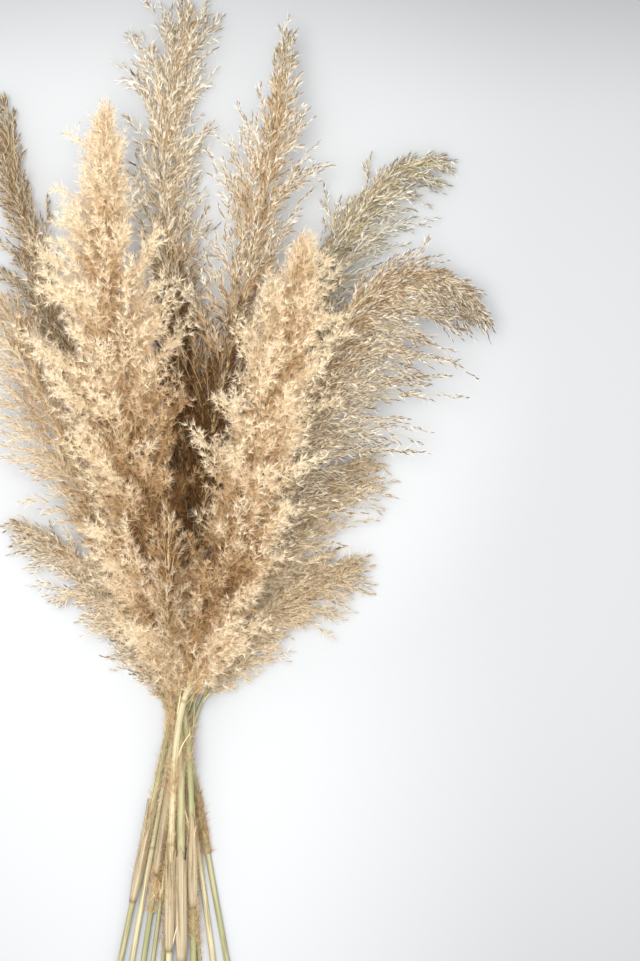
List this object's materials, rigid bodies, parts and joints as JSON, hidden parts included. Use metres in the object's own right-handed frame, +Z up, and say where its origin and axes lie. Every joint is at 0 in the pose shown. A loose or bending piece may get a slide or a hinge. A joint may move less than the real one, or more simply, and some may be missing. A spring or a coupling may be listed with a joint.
{
  "type": "bundle of pampas grass",
  "caption": "Bundle of dried pampas grass lying down: feathery plumes fan out above a waist where the cut stems cross, some still in papery leaf sheaths.",
  "frame": {"origin": "middle of the underside of the bundle's box, on the surface that it lies on", "axes": "+Y along the stalks from the cut ends to the plumes' tips, +Z up from the surface, +X to the right seen from above with the tips up"},
  "size_m": [0.4954, 1.0888, 0.1406],
  "materials": {
    "plume_cream": "dry silky cream hair over pale straw-coloured spikelets",
    "plume_tan": "dry tan spikelets with fine silky hair",
    "plume_brown": "dry grey-brown spikelets on thin branches",
    "stem": "dry smooth straw, pale olive with fine lengthwise lines",
    "sheath": "dry papery leaf sheath, beige with frayed edges"
  },
  "bodies": {
    "root": {"stem_low_left": "stem", "plume_low_left": "plume_tan", "stem_left_low": "stem", "plume_left_low": "plume_brown", "stem_left_back": "stem", "plume_left_back": "plume_brown", "stem_upper_right": "stem", "plume_upper_right": "plume_brown", "stem_low_right": "stem", "plume_low_right": "plume_cream", "stem_right_low": "stem", "plume_right_low": "plume_cream", "stem_lower_right": "stem", "plume_lower_right": "plume_brown", "stem_right_center": "stem", "plume_right_center": "plume_brown", "stem_tall_center": "stem", "plume_tall_center": "plume_tan", "stem_front_left": "stem", "plume_front_left": "plume_cream", "stem_front_right": "stem", "plume_front_right": "plume_cream", "stem_front_small": "stem", "plume_front_small": "plume_cream", "sheath_lower_right": "sheath", "sheath_right_center": "sheath", "sheath_tall_center": "sheath", "sheath_front_left": "sheath", "sheath_front_right": "sheath"}
  },
  "joints": []
}
